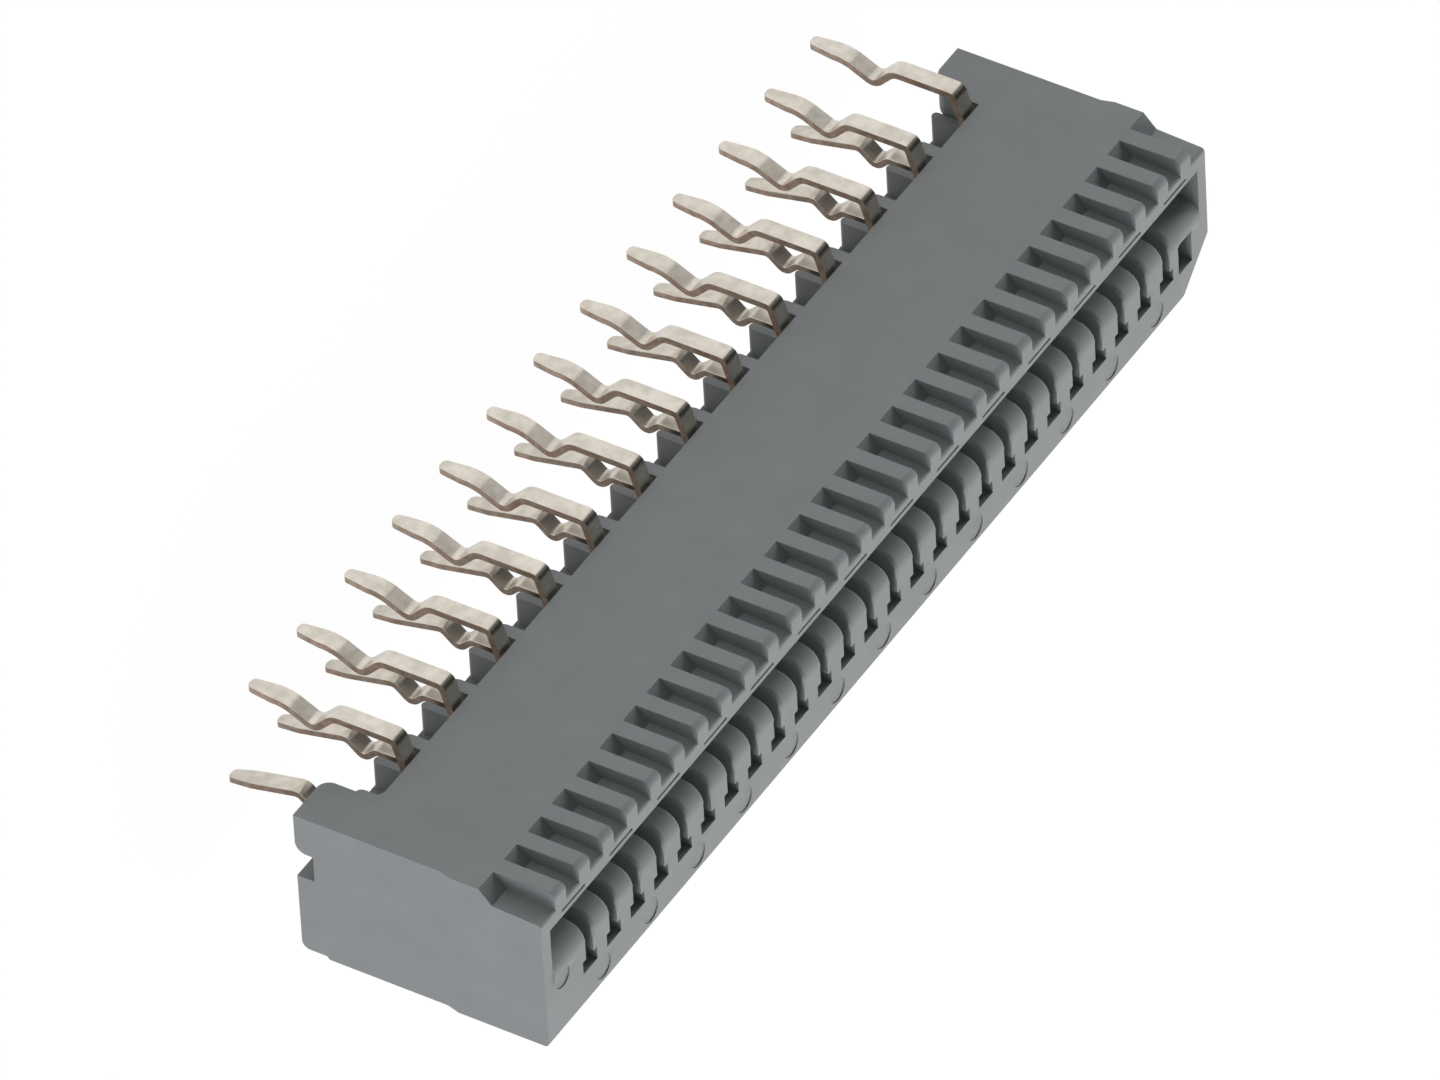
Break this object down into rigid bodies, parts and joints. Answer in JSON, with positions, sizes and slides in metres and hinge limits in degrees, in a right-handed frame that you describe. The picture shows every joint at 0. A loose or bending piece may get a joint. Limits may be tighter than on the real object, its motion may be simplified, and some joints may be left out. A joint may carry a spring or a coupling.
{
  "type": "flat cable connector",
  "caption": "Upright connector that takes a flat flexible cable in a slot and solders to a board with two rows of kinked tails.",
  "frame": {"origin": "middle of the plane that seats on the circuit board, midway between the ends and between the wide faces of the housing", "axes": "+X along the row toward contact 1, +Y toward the plain wide face, +Z away from the board toward the cable mouth"},
  "size_m": [0.0358, 0.0058, 0.0114],
  "materials": {
    "moulding": "fine matt moulded surface, grey",
    "tinned_strip": "tin plated copper alloy, bright, with bare copper edges"
  },
  "bodies": {
    "root": {"housing": "moulding", "contact_01": "tinned_strip", "contact_02": "tinned_strip", "contact_03": "tinned_strip", "contact_04": "tinned_strip", "contact_05": "tinned_strip", "contact_06": "tinned_strip", "contact_07": "tinned_strip", "contact_08": "tinned_strip", "contact_09": "tinned_strip", "contact_10": "tinned_strip", "contact_11": "tinned_strip", "contact_12": "tinned_strip", "contact_13": "tinned_strip", "contact_14": "tinned_strip", "contact_15": "tinned_strip", "contact_16": "tinned_strip", "contact_17": "tinned_strip", "contact_18": "tinned_strip", "contact_19": "tinned_strip", "contact_20": "tinned_strip", "contact_21": "tinned_strip", "contact_22": "tinned_strip", "contact_23": "tinned_strip", "contact_24": "tinned_strip", "contact_25": "tinned_strip", "contact_26": "tinned_strip"}
  },
  "joints": []
}
